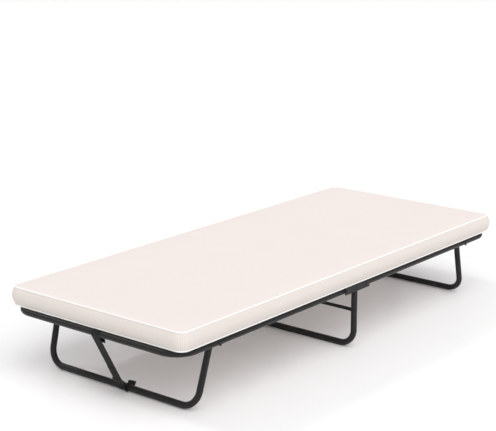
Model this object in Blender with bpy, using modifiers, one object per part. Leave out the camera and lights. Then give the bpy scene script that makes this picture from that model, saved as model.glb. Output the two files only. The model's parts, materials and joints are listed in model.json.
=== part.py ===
"""Rollaway bed: two sprung half frames that fold down about a standing centre section.

Metres, +Z up. The origin is on the floor under the middle of the bed. X runs along the bed, with
the foot end at -X and the head end at +X, and the near long side is at -Y.
"""

import math

import bmesh
import bpy
from mathutils import Matrix, Vector

# Half frames: bent tube, measured on its centre line
FRAME_LENGTH = 1.889
FRAME_WIDTH = 0.7574
RAIL_HEIGHT = 0.2345
RAIL_RADIUS = 0.0116
RAIL_WALL = 0.0012
RAIL_CORNER = 0.075
FOLD_PIVOT_SPACING = 0.125
STUB_LENGTH = 0.040

# Legs: bent tube, measured on its centre line
LEG_RADIUS = 0.0112
LEG_WALL = 0.0012
LEG_PIVOT_INSET = 0.1834
LEG_PIVOT_DROP = 0.006
LEG_SPLAY = 0.0615
LEG_TOP_INSET = 0.0183
LEG_TAPER = 0.0094
LEG_FOOT_BEND = 0.062
LEG_TOP_BEND = 0.014
CENTRE_LEG_BEND = 0.058
BRACE_RADIUS = 0.0065
BRACE_HEIGHT = 0.1458

# Hinge plates and their fasteners
PLATE_LENGTH = 0.152
PLATE_HEIGHT = 0.025
PLATE_THICKNESS = 0.0025
PLATE_CORNER = 0.004
PLATE_EDGE_ROUND = 0.0006
WASHER_THICKNESS = 0.001
WASHER_RADIUS = 0.0095
BOLT_RADIUS = 0.0040
BOLT_HEAD_RADIUS = 0.0068
BOLT_HEAD_HEIGHT = 0.0026
NUT_RADIUS = 0.0072
NUT_LENGTH = 0.0095
NUT_DOME = ((1.0, 0.4), (0.8, 0.12), (0.45, 0.0), (0.0, 0.0))
RIVET_RADIUS = 0.0025
RIVET_HEAD_RADIUS = 0.0046
RIVET_HEAD_HEIGHT = 0.0016
RIVET_SPACING = 0.014
PIN_RADIUS = 0.0032
PIN_HEAD_RADIUS = 0.0060
PIN_HEAD_HEIGHT = 0.0026
BUSH_INSERT = 0.0034
PIN_REACH = 0.0075
BUSH_FLANGE = 0.001
PLUG_INSERT = 0.012
PLUG_CAP = 0.002

# Wire mesh and its springs, in each half frame
WIRE_COUNT = 12
ROW_COUNT = 8
WIRE_THICKNESS = 0.003
LINK_RADIUS = 0.0012
SPRING_RADIUS = 0.0050
SPRING_LENGTH = 0.042
SPRING_REACH = 0.081
SPRING_TO_RAIL = 0.0075
END_HOOK_COUNT = 7
END_HOOK_OUTSET = 0.002
END_SPRING_LENGTH = 0.046
END_APEX = 0.100

# Webbing
STRAP_WIDTH = 0.038
STRAP_THICKNESS = 0.0010
STRAP_TAIL = 0.035
KEEPER_HEIGHT = 0.018
KEEPER_WALL = 0.0022
KEEPER_PLACE = 0.042
CLOSURE_WIDTH = 0.025
CLOSURE_SHIFT = 0.016
CLOSURE_TAIL = 0.012

# Mattress
END_OVERHANG = 0.0147
SIDE_OVERHANG = 0.0271
MATTRESS_THICKNESS = 0.0695
MATTRESS_CORNER = 0.045
SEAM_INSET = 0.0112
PIPING_RADIUS = 0.0030
COVER_WALL = 0.0020
ZIP_MARGIN = 0.1058
ZIP_WIDTH = 0.008
SLIDER_LENGTH = 0.012
SLIDER_THICKNESS = 0.0015

# Clearances and fineness
GAP = 0.0003
BORE_CLEARANCE = 0.0004
BEND_STEPS = 5
ROUND_STEPS = 12
BULGE_STEPS = 6
BORE_SIDES = 8
OVERRUN = 0.004

# Sizes that follow
PIVOT_X = FOLD_PIVOT_SPACING / 2
END_RAIL_X = FRAME_LENGTH / 2
RAIL_Y = FRAME_WIDTH / 2
STUB_X = PIVOT_X - STUB_LENGTH
RAIL_INNER_Y = RAIL_Y - RAIL_RADIUS
RAIL_OUTER_Y = RAIL_Y + RAIL_RADIUS
RAIL_TOP = RAIL_HEIGHT + RAIL_RADIUS
PLATE_INNER_Y = RAIL_OUTER_Y + GAP + WASHER_THICKNESS + GAP
PLATE_OUTER_Y = PLATE_INNER_Y + PLATE_THICKNESS
PLATE_MIDDLE_Z = RAIL_TOP - PLATE_HEIGHT / 2
CENTRE_LEG_Y = PLATE_INNER_Y - GAP - LEG_RADIUS
LEG_PIVOT_X = END_RAIL_X - LEG_PIVOT_INSET
LEG_PIVOT_Z = RAIL_HEIGHT - LEG_PIVOT_DROP
LEG_END_Y = RAIL_INNER_Y - GAP - BUSH_FLANGE - GAP
CROSSBAR_X = LEG_PIVOT_X + LEG_SPLAY
OUTER_ROW_X = LEG_PIVOT_X + LEG_RADIUS + SPRING_RADIUS
ROW_PITCH = (OUTER_ROW_X - PIVOT_X) / (ROW_COUNT - 1)
MESH_Y = RAIL_INNER_Y - SPRING_REACH
WIRE_PITCH = 2 * MESH_Y / (WIRE_COUNT - 1)
NUT_INNER_Y = RAIL_INNER_Y - GAP - NUT_LENGTH
END_HOOK_PITCH = 2 * (MESH_Y + END_HOOK_OUTSET) / (END_HOOK_COUNT - 1)
CLOSURE_Y = 1.5 * END_HOOK_PITCH + CLOSURE_SHIFT
STRAP_RADIUS = GAP + STRAP_THICKNESS / 2
STRAP_OFFSET = STRAP_WIDTH / 2 + LINK_RADIUS + GAP
CROSSBAR_Z = LEG_RADIUS + GAP + STRAP_THICKNESS
MATTRESS_LENGTH = FRAME_LENGTH + 2 * END_OVERHANG
MATTRESS_WIDTH = FRAME_WIDTH + 2 * SIDE_OVERHANG
MATTRESS_BOTTOM = RAIL_TOP + GAP + STRAP_THICKNESS + GAP
MATTRESS_TOP = MATTRESS_BOTTOM + MATTRESS_THICKNESS
PIPING_SEAT = 2 * PIPING_RADIUS + 2 * GAP
ZIP_LENGTH = MATTRESS_WIDTH - 2 * ZIP_MARGIN
PLUG_RADIUS = (RAIL_RADIUS - RAIL_WALL) * math.cos(math.pi / BORE_SIDES) - GAP
BUSH_RADIUS = (LEG_RADIUS - LEG_WALL) * math.cos(math.pi / BORE_SIDES) - GAP


# Scene ---------------------------------------------------------------------------------------


def clear_scene():
    for piece in list(bpy.data.objects):
        bpy.data.objects.remove(piece)
    for collection in list(bpy.data.collections):
        bpy.data.collections.remove(collection)


def new_collection(name, hidden):
    collection = bpy.data.collections.new(name)
    collection.hide_render = hidden
    bpy.context.scene.collection.children.link(collection)
    return collection


def new_material(name, colour, roughness, metallic=0.0):
    material = bpy.data.materials.new(name)
    material.use_nodes = True
    shader = material.node_tree.nodes["Principled BSDF"]
    shader.inputs["Base Color"].default_value = (*colour, 1.0)
    shader.inputs["Roughness"].default_value = roughness
    shader.inputs["Metallic"].default_value = metallic
    material.diffuse_color = (*colour, 1.0)
    return material


def into(collection, piece):
    """Move an object out of the collections that hold it and into one of ours."""
    for held_by in list(piece.users_collection):
        held_by.objects.unlink(piece)
    collection.objects.link(piece)
    return piece


def as_part(piece, material):
    piece.data.materials.clear()
    piece.data.materials.append(material)
    return into(PARTS, piece)


def as_cutter(piece):
    piece.hide_render = True
    piece.display_type = "WIRE"
    return into(CUTTERS, piece)


def new_axis(name, place, parent=None):
    """An empty on a joint's axis, which the pieces of one moving body hang on."""
    axis = bpy.data.objects.new(name, None)
    axis.empty_display_size = 0.05
    PARTS.objects.link(axis)
    axis.location = place
    if parent:
        hang(axis, parent)
    return axis


def hang(piece, axis):
    """Parent a piece to its joint's empty and leave it where it is."""
    bpy.context.view_layer.update()
    piece.parent = axis
    piece.matrix_parent_inverse = axis.matrix_world.inverted()


def smooth(piece, angle=35):
    piece.data.shade_smooth()
    piece.data.set_sharp_from_angle(angle=math.radians(angle))


# Shapes --------------------------------------------------------------------------------------


def rounded_path(corners, radius, steps=BEND_STEPS):
    """The points of a path through the corners, with an arc of the given radius at each bend."""
    corners = [Vector(corner) for corner in corners]
    radii = radius if isinstance(radius, list) else [radius] * (len(corners) - 2)
    path = [corners[0]]
    for before, corner, after, bend in zip(corners, corners[1:], corners[2:], radii):
        arriving = (corner - before).normalized()
        leaving = (after - corner).normalized()
        turn = arriving.angle(leaving)
        setback = bend * math.tan(turn / 2)
        centre = corner + (leaving - arriving).normalized() * bend / math.cos(turn / 2)
        start = corner - arriving * setback - centre
        axis = arriving.cross(leaving).normalized()
        for k in range(steps + 1):
            path.append(centre + Matrix.Rotation(turn * k / steps, 3, axis) @ start)
    return path + [corners[-1]]


def curve_through(name, points, radius, resolution, radii=None, cyclic=False):
    """A round bar along the points, with flat ends."""
    data = bpy.data.curves.new(name, "CURVE")
    data.dimensions = "3D"
    data.bevel_depth = radius
    data.bevel_resolution = resolution
    data.use_fill_caps = not cyclic
    spline = data.splines.new("POLY")
    spline.points.add(len(points) - 1)
    spline.use_cyclic_u = cyclic
    for k, (target, point) in enumerate(zip(spline.points, points)):
        target.co = (*point, 1.0)
        target.radius = radii[k] / radius if radii else 1.0
    piece = bpy.data.objects.new(name, data)
    bpy.context.scene.collection.objects.link(piece)
    return piece


def made_mesh(piece):
    """Turn a curve object into a mesh object with its caps welded on."""
    bpy.context.view_layer.update()
    graph = bpy.context.evaluated_depsgraph_get()
    data = bpy.data.meshes.new_from_object(piece.evaluated_get(graph))
    shape = bmesh.new()
    shape.from_mesh(data)
    bmesh.ops.remove_doubles(shape, verts=shape.verts, dist=0.00001)
    bmesh.ops.recalc_face_normals(shape, faces=shape.faces)
    shape.to_mesh(data)
    shape.free()
    name = piece.name
    made = bpy.data.objects.new(name + "_mesh", data)
    made.matrix_world = piece.matrix_world
    bpy.context.scene.collection.objects.link(made)
    bpy.data.objects.remove(piece)
    made.name = name
    return made


def bar(name, points, radius, resolution=4, **options):
    return made_mesh(curve_through(name, points, radius, resolution, **options))


def boolean(piece, other, operation="DIFFERENCE"):
    modifier = piece.modifiers.new(operation.title() + " " + other.name, "BOOLEAN")
    modifier.operation = operation
    modifier.object = as_cutter(other)
    return piece


def tube(name, path, radius, wall, material):
    """A bent tube, open at both ends."""
    piece = bar(name, path, radius)
    first = (path[0] - path[1]).normalized() * OVERRUN
    last = (path[-1] - path[-2]).normalized() * OVERRUN
    inside = [path[0] + first, *path[1:-1], path[-1] + last]
    boolean(piece, bar(name + "_bore", inside, radius - wall, (BORE_SIDES - 4) // 2))
    smooth(piece)
    return as_part(piece, material)


def drill(piece, x, z, radius, y, reach):
    """Cut a round hole along Y, which reaches the same distance to each side of y."""
    bpy.ops.mesh.primitive_cylinder_add(
        vertices=ROUND_STEPS,
        radius=radius,
        depth=2 * reach,
        location=(x, y, z),
        rotation=(math.pi / 2, 0, 0),
    )
    cutter = bpy.context.object
    cutter.name = piece.name + "_hole"
    return boolean(piece, cutter)


def turned(name, profile, x, y, z, side, material, ring=False):
    """A turned piece whose axis is Y. The profile's (radius, distance) pairs run from the outer end,
    which points away from the bed on the given side, down its outside to the inner end."""
    data = bpy.data.meshes.new(name)
    count = len(profile)
    edges = [(k, k + 1) for k in range(count - 1)]
    if ring:
        edges.append((count - 1, 0))
    data.from_pydata([(radius, 0, along) for radius, along in profile], edges, [])
    piece = bpy.data.objects.new(name, data)
    screw = piece.modifiers.new("Turn", "SCREW")
    screw.steps = ROUND_STEPS
    screw.render_steps = ROUND_STEPS
    screw.use_merge_vertices = True
    screw.merge_threshold = 0.00001
    screw.use_smooth_shade = True
    piece.location = (x, y, z)
    piece.rotation_euler = (-side * math.pi / 2, 0, 0)
    bpy.context.scene.collection.objects.link(piece)
    return as_part(piece, material)


def domed_head(radius, height, base):
    """Profile points of a low dome, from its top to its rim, on a face at the distance base."""
    steps = 3
    points = []
    for k in range(steps + 1):
        angle = math.pi / 2 * (1 - k / steps)
        points.append((radius * math.cos(angle), base + height * (0.3 + 0.7 * math.sin(angle))))
    points[0] = (0.0, points[0][1])
    return points + [(radius, base)]


def band(name, outline, width, thickness, y, material):
    """A strap: a line of (x, z) points drawn out along Y and given its thickness."""
    data = bpy.data.meshes.new(name)
    points = [(px, y + edge, pz) for edge in (-width / 2, width / 2) for px, pz in outline]
    count = len(outline)
    faces = [(k, k + 1, count + k + 1, count + k) for k in range(count - 1)]
    data.from_pydata(points, [], faces)
    piece = bpy.data.objects.new(name, data)
    solid = piece.modifiers.new("Thickness", "SOLIDIFY")
    solid.thickness = thickness
    solid.offset = 0.0
    solid.use_even_offset = True
    bpy.context.scene.collection.objects.link(piece)
    return as_part(piece, material)


def rounded_outline(length, width, radius):
    """(x, y) points round a rectangle with rounded corners, counter-clockwise."""
    points = []
    for quarter, (sx, sy) in enumerate(((1, 1), (-1, 1), (-1, -1), (1, -1))):
        centre_x = sx * (length / 2 - radius)
        centre_y = sy * (width / 2 - radius)
        for k in range(BEND_STEPS + 1):
            angle = math.pi / 2 * (quarter + k / BEND_STEPS)
            points.append((centre_x + radius * math.cos(angle), centre_y + radius * math.sin(angle)))
    return points


def slab(name, profile, length, width, corner):
    """A flat-topped block lofted up a border profile of (inset, z) pairs, from bottom to top."""
    shape = bmesh.new()
    rings = []
    for inset, z in profile:
        outline = rounded_outline(length - 2 * inset, width - 2 * inset, corner - inset)
        rings.append([shape.verts.new((x, y, z)) for x, y in outline])
    for lower, upper in zip(rings, rings[1:]):
        for k in range(len(lower)):
            shape.faces.new((lower[k - 1], lower[k], upper[k], upper[k - 1]))
    shape.faces.new(rings[0][::-1])
    shape.faces.new(rings[-1])
    data = bpy.data.meshes.new(name)
    shape.to_mesh(data)
    shape.free()
    piece = bpy.data.objects.new(name, data)
    bpy.context.scene.collection.objects.link(piece)
    return piece


# Centre section ------------------------------------------------------------------------------


def make_centre_leg():
    top = RAIL_TOP - 2 * GAP
    corners = [
        (0, -CENTRE_LEG_Y, top),
        (0, -CENTRE_LEG_Y, LEG_RADIUS),
        (0, CENTRE_LEG_Y, LEG_RADIUS),
        (0, CENTRE_LEG_Y, top),
    ]
    path = rounded_path(corners, CENTRE_LEG_BEND)
    leg = tube("centre_leg", path, LEG_RADIUS, LEG_WALL, STEEL_BLACK)
    for z in rivet_heights():
        for side in (-1, 1):
            drill(leg, 0, z, RIVET_RADIUS + GAP, side * CENTRE_LEG_Y, 2 * LEG_RADIUS)


def rivet_heights():
    return [PLATE_MIDDLE_Z - RIVET_SPACING / 2, PLATE_MIDDLE_Z + RIVET_SPACING / 2]


def make_centre_leg_brace():
    ends = [(0, -CENTRE_LEG_Y, BRACE_HEIGHT), (0, CENTRE_LEG_Y, BRACE_HEIGHT)]
    brace = bar("centre_leg_brace", ends, BRACE_RADIUS)
    for side in (-1, 1):
        low = Vector((0, side * CENTRE_LEG_Y, BRACE_HEIGHT - 3 * BRACE_RADIUS))
        high = Vector((0, side * CENTRE_LEG_Y, BRACE_HEIGHT + 3 * BRACE_RADIUS))
        boolean(brace, bar("brace_cope", [low, high], LEG_RADIUS + GAP))
    smooth(brace)
    as_part(brace, STEEL_BLACK)


def make_hinge_plate(side_name, side):
    """A pressed plate on the outside of the rails, which carries both fold pivots and the centre leg."""
    data = bpy.data.curves.new("hinge_plate_" + side_name, "CURVE")
    data.dimensions = "2D"
    data.fill_mode = "BOTH"
    data.extrude = PLATE_THICKNESS / 2
    spline = data.splines.new("POLY")
    outline = rounded_outline(PLATE_LENGTH, PLATE_HEIGHT, PLATE_CORNER)
    spline.points.add(len(outline) - 1)
    spline.use_cyclic_u = True
    for target, (x, z) in zip(spline.points, outline):
        target.co = (x, z, 0.0, 1.0)
    flat = bpy.data.objects.new("hinge_plate_" + side_name, data)
    flat.rotation_euler = (math.pi / 2, 0, 0)
    flat.location = (0, side * (PLATE_INNER_Y + PLATE_THICKNESS / 2), PLATE_MIDDLE_Z)
    bpy.context.scene.collection.objects.link(flat)
    plate = made_mesh(flat)
    edge = plate.modifiers.new("Pressed edge", "BEVEL")
    edge.width = PLATE_EDGE_ROUND
    edge.segments = 1
    edge.limit_method = "ANGLE"
    edge.angle_limit = math.radians(60)
    middle = side * (PLATE_INNER_Y + PLATE_OUTER_Y) / 2
    for x in (-PIVOT_X, PIVOT_X):
        drill(plate, x, RAIL_HEIGHT, BOLT_RADIUS + BORE_CLEARANCE, middle, 2 * PLATE_THICKNESS)
    for z in rivet_heights():
        drill(plate, 0, z, RIVET_RADIUS + GAP, middle, 2 * PLATE_THICKNESS)
    as_part(plate, STEEL_BLACK)


def make_rivets(side_name, side):
    head = PLATE_OUTER_Y + GAP
    tail = CENTRE_LEG_Y - LEG_RADIUS - GAP
    for level, z in zip(("lower", "upper"), rivet_heights()):
        profile = domed_head(RIVET_HEAD_RADIUS, RIVET_HEAD_HEIGHT, head)
        profile += [(RIVET_RADIUS, head), (RIVET_RADIUS, tail)]
        profile += [(RIVET_HEAD_RADIUS, tail), (RIVET_HEAD_RADIUS, tail - RIVET_HEAD_HEIGHT)]
        profile += [(0.0, tail - RIVET_HEAD_HEIGHT)]
        turned(f"leg_rivet_{side_name}_{level}", profile, 0, 0, z, side, STEEL_BLACK)


def make_fold_pivot(name, x, side):
    """The bolt, washer and cap nut that join one rail to its hinge plate."""
    head = PLATE_OUTER_Y + GAP
    tip = NUT_INNER_Y + NUT_LENGTH / 3
    bolt = domed_head(BOLT_HEAD_RADIUS, BOLT_HEAD_HEIGHT, head)
    bolt += [(BOLT_RADIUS, head), (BOLT_RADIUS, tip), (0.0, tip)]
    turned("fold_bolt_" + name, bolt, x, 0, RAIL_HEIGHT, side, STEEL_BLACK)
    bore = BOLT_RADIUS + BORE_CLEARANCE
    low = RAIL_OUTER_Y + GAP
    high = low + WASHER_THICKNESS
    washer = [(bore, high), (WASHER_RADIUS, high), (WASHER_RADIUS, low), (bore, low)]
    turned("fold_washer_" + name, washer, x, 0, RAIL_HEIGHT, side, NYLON, ring=True)
    mouth = NUT_INNER_Y + NUT_LENGTH
    floor = tip - 2 * GAP
    nut = [(0.0, floor), (bore, floor), (bore, mouth), (NUT_RADIUS, mouth)]
    for share in NUT_DOME:
        nut.append((share[0] * NUT_RADIUS, NUT_INNER_Y + share[1] * NUT_LENGTH))
    turned("fold_cap_nut_" + name, nut, x, 0, RAIL_HEIGHT, side, STEEL_BLACK)


# Half frames ---------------------------------------------------------------------------------


def make_half_frame(end_name, end):
    """One bent tube: two side rails and the end rail. Its open ends run past the fold pivots."""
    corners = [
        (end * STUB_X, -RAIL_Y, RAIL_HEIGHT),
        (end * END_RAIL_X, -RAIL_Y, RAIL_HEIGHT),
        (end * END_RAIL_X, RAIL_Y, RAIL_HEIGHT),
        (end * STUB_X, RAIL_Y, RAIL_HEIGHT),
    ]
    path = rounded_path(corners, RAIL_CORNER)
    frame = tube(end_name + "_frame", path, RAIL_RADIUS, RAIL_WALL, STEEL_BLACK)
    holes = ((PIVOT_X, RAIL_HEIGHT, BOLT_RADIUS), (LEG_PIVOT_X, LEG_PIVOT_Z, PIN_RADIUS))
    for x, z, radius in holes:
        for side in (-1, 1):
            drill(frame, end * x, z, radius + BORE_CLEARANCE, side * RAIL_Y, 2 * RAIL_RADIUS)
    return frame


def make_stub_plug(name, end, side):
    """The plastic plug in a rail's open end, which stands on the floor when the bed is folded."""
    profile = [
        (0.0, PLUG_INSERT),
        (PLUG_RADIUS, PLUG_INSERT),
        (PLUG_RADIUS, 0.0),
        (RAIL_RADIUS, 0.0),
        (RAIL_RADIUS, -PLUG_CAP * 0.7),
        (RAIL_RADIUS - PLUG_CAP * 0.4, -PLUG_CAP),
        (0.0, -PLUG_CAP),
    ]
    x = end * (STUB_X - GAP)
    plug = turned(name, profile, x, side * RAIL_Y, RAIL_HEIGHT, 1, PLASTIC_BLACK)
    plug.rotation_euler = (0, end * math.pi / 2, 0)
    return plug


def row_x(row):
    return PIVOT_X + row * ROW_PITCH


def wire_y(wire):
    return -MESH_Y + wire * WIRE_PITCH


def spring_and_hooks(name, start, end, spring_start, spring_length):
    """A spring's outer shape between its two hooks, from start to end."""
    start, end = Vector(start), Vector(end)
    along = (end - start).normalized()
    taper = SPRING_RADIUS / 2
    spring_end = spring_start + spring_length
    reaches = [0.0, spring_start, spring_start + taper, spring_end - taper, spring_end, (end - start).length]
    radii = [LINK_RADIUS] * 2 + [SPRING_RADIUS] * 2 + [LINK_RADIUS] * 2
    points = [start + along * reach for reach in reaches]
    return bar(name, points, SPRING_RADIUS, 1, radii=radii)


def make_mesh(end_name, end):
    """The wire lattice with the springs that stretch it between the rails, as one solid."""
    length = (ROW_COUNT - 1) * ROW_PITCH
    bpy.ops.mesh.primitive_grid_add(
        x_subdivisions=ROW_COUNT - 1,
        y_subdivisions=WIRE_COUNT - 1,
        size=1,
        location=(end * (PIVOT_X + length / 2), 0, RAIL_HEIGHT),
    )
    mesh = bpy.context.object
    mesh.name = end_name + "_mesh"
    mesh.scale = (length, 2 * MESH_Y, 1)
    bpy.ops.object.transform_apply(location=False, rotation=False, scale=True)
    wires = mesh.modifiers.new("Wires", "WIREFRAME")
    wires.thickness = WIRE_THICKNESS
    wires.offset = 0.0
    wires.use_boundary = True
    springs = bpy.data.collections.new(end_name + "_springs")
    springs.hide_render = True
    CUTTERS.children.link(springs)
    for row in range(ROW_COUNT):
        x = end * row_x(row)
        for side in (-1, 1):
            stop = NUT_INNER_Y - GAP if row == 0 else RAIL_INNER_Y - 2 * GAP
            reach = stop - MESH_Y
            spring_start = reach - SPRING_TO_RAIL - SPRING_LENGTH
            spring = spring_and_hooks(
                f"{end_name}_side_spring",
                (x, side * MESH_Y, RAIL_HEIGHT),
                (x, side * stop, RAIL_HEIGHT),
                spring_start,
                SPRING_LENGTH,
            )
            into(springs, as_cutter(spring))
    apex_x = END_RAIL_X - END_APEX
    hook_x = END_RAIL_X - RAIL_RADIUS - 2 * GAP
    last_row = row_x(ROW_COUNT - 1)
    for hook in range(END_HOOK_COUNT):
        hook_y = END_HOOK_PITCH * (hook - (END_HOOK_COUNT - 1) / 2)
        edge = hook in (0, END_HOOK_COUNT - 1)
        if edge:
            inner = Vector((end * last_row, math.copysign(MESH_Y, hook_y), RAIL_HEIGHT))
        else:
            left, right = wire_y(2 * hook - 1), wire_y(2 * hook)
            inner = Vector((end * apex_x, (left + right) / 2, RAIL_HEIGHT))
            link = [(end * last_row, left, RAIL_HEIGHT), inner, (end * last_row, right, RAIL_HEIGHT)]
            into(springs, as_cutter(bar(f"{end_name}_link", link, LINK_RADIUS, 1)))
        outer = Vector((end * hook_x, hook_y, RAIL_HEIGHT))
        reach = (outer - inner).length
        spring_start = reach - SPRING_TO_RAIL - END_SPRING_LENGTH
        name = f"{end_name}_end_spring"
        spring = spring_and_hooks(name, inner, outer, spring_start, END_SPRING_LENGTH)
        into(springs, as_cutter(spring))
    union = mesh.modifiers.new("Springs", "BOOLEAN")
    union.operation = "UNION"
    union.solver = "MANIFOLD"
    union.operand_type = "COLLECTION"
    union.collection = springs
    return as_part(mesh, ZINC)


# Legs ----------------------------------------------------------------------------------------


def make_end_leg(end_name, end):
    """A bent tube whose tops turn outwards to their pivots under the rails."""
    top_y = LEG_END_Y - LEG_TOP_INSET
    foot_y = top_y - LEG_TAPER
    top = (end * LEG_PIVOT_X, LEG_PIVOT_Z)
    foot = (end * CROSSBAR_X, CROSSBAR_Z)
    corners = [
        (top[0], -LEG_END_Y, top[1]),
        (top[0], -top_y, top[1]),
        (foot[0], -foot_y, foot[1]),
        (foot[0], foot_y, foot[1]),
        (top[0], top_y, top[1]),
        (top[0], LEG_END_Y, top[1]),
    ]
    bends = [LEG_TOP_BEND, LEG_FOOT_BEND, LEG_FOOT_BEND, LEG_TOP_BEND]
    return tube(end_name + "_leg", rounded_path(corners, bends), LEG_RADIUS, LEG_WALL, STEEL_BLACK)


def make_leg_pivot(name, end, side):
    """The pin through a rail into the end of the leg, and the bush that it turns in."""
    head = RAIL_OUTER_Y + GAP
    tip = LEG_END_Y - PIN_REACH
    pin = domed_head(PIN_HEAD_RADIUS, PIN_HEAD_HEIGHT, head)
    pin += [(PIN_RADIUS, head), (PIN_RADIUS, tip), (0.0, tip)]
    at = (end * LEG_PIVOT_X, 0, LEG_PIVOT_Z)
    made_pin = turned("leg_pin_" + name, pin, *at, side, STEEL_BLACK)
    bore = PIN_RADIUS + GAP
    flange = LEG_END_Y + GAP
    bush = [
        (bore, flange + BUSH_FLANGE),
        (LEG_RADIUS, flange + BUSH_FLANGE),
        (LEG_RADIUS, flange),
        (BUSH_RADIUS, flange),
        (BUSH_RADIUS, LEG_END_Y - BUSH_INSERT),
        (bore, LEG_END_Y - BUSH_INSERT),
    ]
    made_bush = turned("leg_bush_" + name, bush, *at, side, NYLON, ring=True)
    return [made_pin, made_bush]


def wrap(centre, radius, start, turn, steps=12):
    """(x, z) points round a centre, from the start angle through the turn."""
    points = []
    for k in range(steps + 1):
        angle = start + turn * k / steps
        points.append((centre[0] + radius * math.cos(angle), centre[1] + radius * math.sin(angle)))
    return points


def strap_run(end):
    """Where the leg strap leaves the end rail and meets the crossbar, and the side it lies on."""
    rail = Vector((end * END_RAIL_X, RAIL_HEIGHT))
    crossbar = Vector((end * CROSSBAR_X, CROSSBAR_Z))
    fall = crossbar - rail
    outward = math.atan2(fall.y, fall.x) + end * math.pi / 2
    return rail, crossbar, outward


def make_leg_strap(end_name, end):
    """Webbing that stops the leg: round the end rail, straight down, and round the leg's crossbar."""
    rail, crossbar, outward = strap_run(end)
    inward = 0.0 if end < 0 else math.pi
    over_turn = (outward - inward) % (-end * 2 * math.pi)
    over = wrap(rail, RAIL_RADIUS + STRAP_RADIUS, inward, over_turn)
    under = wrap(crossbar, LEG_RADIUS + STRAP_RADIUS, outward, -end * 1.5 * math.pi)
    tail = (over[0][0], over[0][1] - STRAP_TAIL)
    return band(
        end_name + "_leg_strap",
        [tail, *over, *under],
        STRAP_WIDTH,
        STRAP_THICKNESS,
        end * STRAP_OFFSET,
        WEBBING,
    )


def make_strap_keeper(end_name, end):
    """The plastic loop that holds the strap's layers together above the crossbar."""
    rail, crossbar, outward = strap_run(end)
    side = Vector((math.cos(outward), math.sin(outward)))
    low = crossbar + side * (LEG_RADIUS + STRAP_RADIUS)
    high = rail + side * (RAIL_RADIUS + STRAP_RADIUS)
    along = (high - low).normalized()
    middle = low + along * KEEPER_PLACE
    place = (middle.x, end * STRAP_OFFSET, middle.y)
    turn = math.atan2(along.x, along.y)
    depth, width = STRAP_THICKNESS + 2 * GAP, STRAP_WIDTH + 2 * GAP
    outer = (depth + 2 * KEEPER_WALL, width + 2 * KEEPER_WALL, KEEPER_HEIGHT)
    keeper = block(end_name + "_strap_keeper", outer, place, turn)
    boolean(keeper, block("keeper_slot", (depth, width, 2 * KEEPER_HEIGHT), place, turn))
    return as_part(keeper, PLASTIC_BLACK)


def make_closure_strap(side_name, side):
    """A webbing loop kept round the head end rail, between two of the mesh's end springs, which
    ties the folded halves together."""
    rail = (END_RAIL_X, RAIL_HEIGHT)
    loop = wrap(rail, RAIL_RADIUS + STRAP_RADIUS, math.pi, -1.6 * math.pi, 16)
    tail = (loop[0][0], loop[0][1] - CLOSURE_TAIL)
    return band(
        "closure_strap_" + side_name,
        [tail, *loop],
        CLOSURE_WIDTH,
        STRAP_THICKNESS,
        side * CLOSURE_Y,
        WEBBING,
    )


# Mattress ------------------------------------------------------------------------------------


def block(name, size, place, turn=0.0):
    bpy.ops.mesh.primitive_cube_add(size=1, location=place, rotation=(0, turn, 0))
    piece = bpy.context.object
    piece.name = name
    piece.scale = size
    bpy.ops.object.transform_apply(location=False, rotation=False, scale=True)
    return piece


def border_profile(depth):
    """(inset, z) pairs up the mattress's border, at a depth inside its skin: a ledge for each
    piping, with a bulge between them."""
    bottom = MATTRESS_BOTTOM + depth
    top = MATTRESS_TOP - depth
    low, high = bottom + PIPING_SEAT, top - PIPING_SEAT
    seat = SEAM_INSET + PIPING_SEAT + depth
    bulge = []
    for k in range(BULGE_STEPS + 1):
        t = 2 * k / BULGE_STEPS - 1
        bulge.append((SEAM_INSET * t * t + depth, (low + high) / 2 + t * (high - low) / 2))
    return [(seat, bottom), (seat, low), *bulge, (seat, high), (seat, top)]


def make_mattress():
    size = (MATTRESS_LENGTH, MATTRESS_WIDTH, MATTRESS_CORNER)
    middle = (MATTRESS_BOTTOM + MATTRESS_TOP) / 2
    cover = slab("mattress_cover", border_profile(0.0), *size)
    boolean(cover, slab("cover_inside", border_profile(COVER_WALL), *size))
    zip_x = (MATTRESS_LENGTH - COVER_WALL) / 2
    chain = (COVER_WALL - 2 * GAP, ZIP_LENGTH, ZIP_WIDTH)
    opening = (3 * COVER_WALL, ZIP_LENGTH + 2 * GAP, ZIP_WIDTH + 2 * GAP)
    boolean(cover, block("zip_opening", opening, (zip_x, 0, middle)))
    foam = slab("mattress_foam", border_profile(COVER_WALL + GAP), *size)
    zipper = block("mattress_zip", chain, (zip_x, 0, middle))
    slider_size = (SLIDER_THICKNESS, ZIP_WIDTH, SLIDER_LENGTH)
    slider_x = MATTRESS_LENGTH / 2 + GAP + SLIDER_THICKNESS / 2
    slider_at = (slider_x, ZIP_LENGTH / 2 - SLIDER_LENGTH, middle)
    slider = block("mattress_zip_slider", slider_size, slider_at)
    for piece, material in ((cover, COVER_CLOTH), (foam, FOAM), (zipper, NYLON), (slider, ZINC)):
        as_part(piece, material)
    for level, z in (("bottom", MATTRESS_BOTTOM), ("top", MATTRESS_TOP)):
        inset = SEAM_INSET + PIPING_SEAT / 2
        height = z + math.copysign(PIPING_SEAT / 2, middle - z)
        outline = rounded_outline(
            MATTRESS_LENGTH - 2 * inset, MATTRESS_WIDTH - 2 * inset, MATTRESS_CORNER - inset
        )
        points = [(x, y, height) for x, y in outline]
        piping = curve_through("mattress_piping_" + level, points, PIPING_RADIUS, 1, cyclic=True)
        as_part(piping, PIPING_CLOTH)


# The bed -------------------------------------------------------------------------------------


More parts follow.
